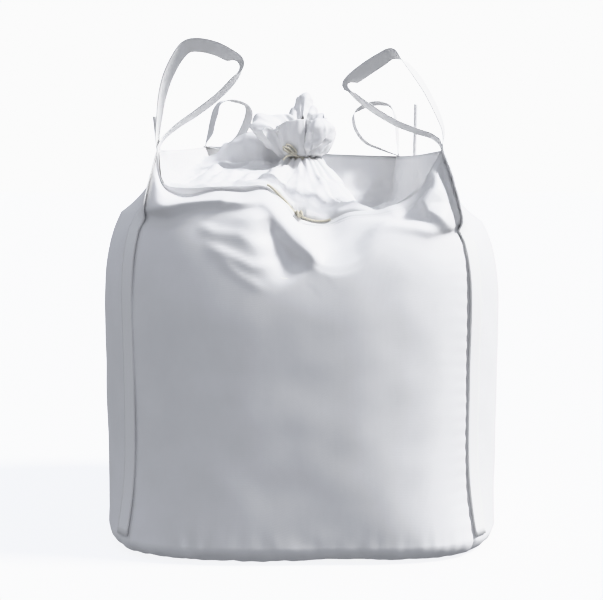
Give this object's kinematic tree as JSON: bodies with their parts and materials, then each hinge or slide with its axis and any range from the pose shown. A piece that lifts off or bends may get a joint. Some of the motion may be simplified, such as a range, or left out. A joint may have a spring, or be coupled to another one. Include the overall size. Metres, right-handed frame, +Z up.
{
  "type": "bulk bag of urea",
  "caption": "Filled woven bulk bag of urea prills with corner lifting loops and a gathered, tied top cloth; it stands on its flat base and hangs from its loops.",
  "frame": {"origin": "middle of the base panel's underside, on the ground", "axes": "+Z up along the bag's height; -Y is the front, where the top cloth is tied down; +X is the front's right"},
  "size_m": [1.082, 1.082, 1.3037],
  "materials": {
    "woven_cloth": "matte",
    "webbing": "satin",
    "tie_cord": "matte",
    "urea_prills": "matte"
  },
  "bodies": {
    "root": {"base_panel": "woven_cloth", "front_panel": "woven_cloth", "right_panel": "woven_cloth", "back_panel": "woven_cloth", "left_panel": "woven_cloth", "top_cover": "woven_cloth", "neck_tie": "tie_cord", "front_tie": "tie_cord", "lift_loop_front_left": "webbing", "lift_loop_front_right": "webbing", "lift_loop_back_right": "webbing", "lift_loop_back_left": "webbing", "hem_tape_right": "webbing", "hem_tape_left": "webbing", "urea_fill": "urea_prills"}
  },
  "joints": []
}
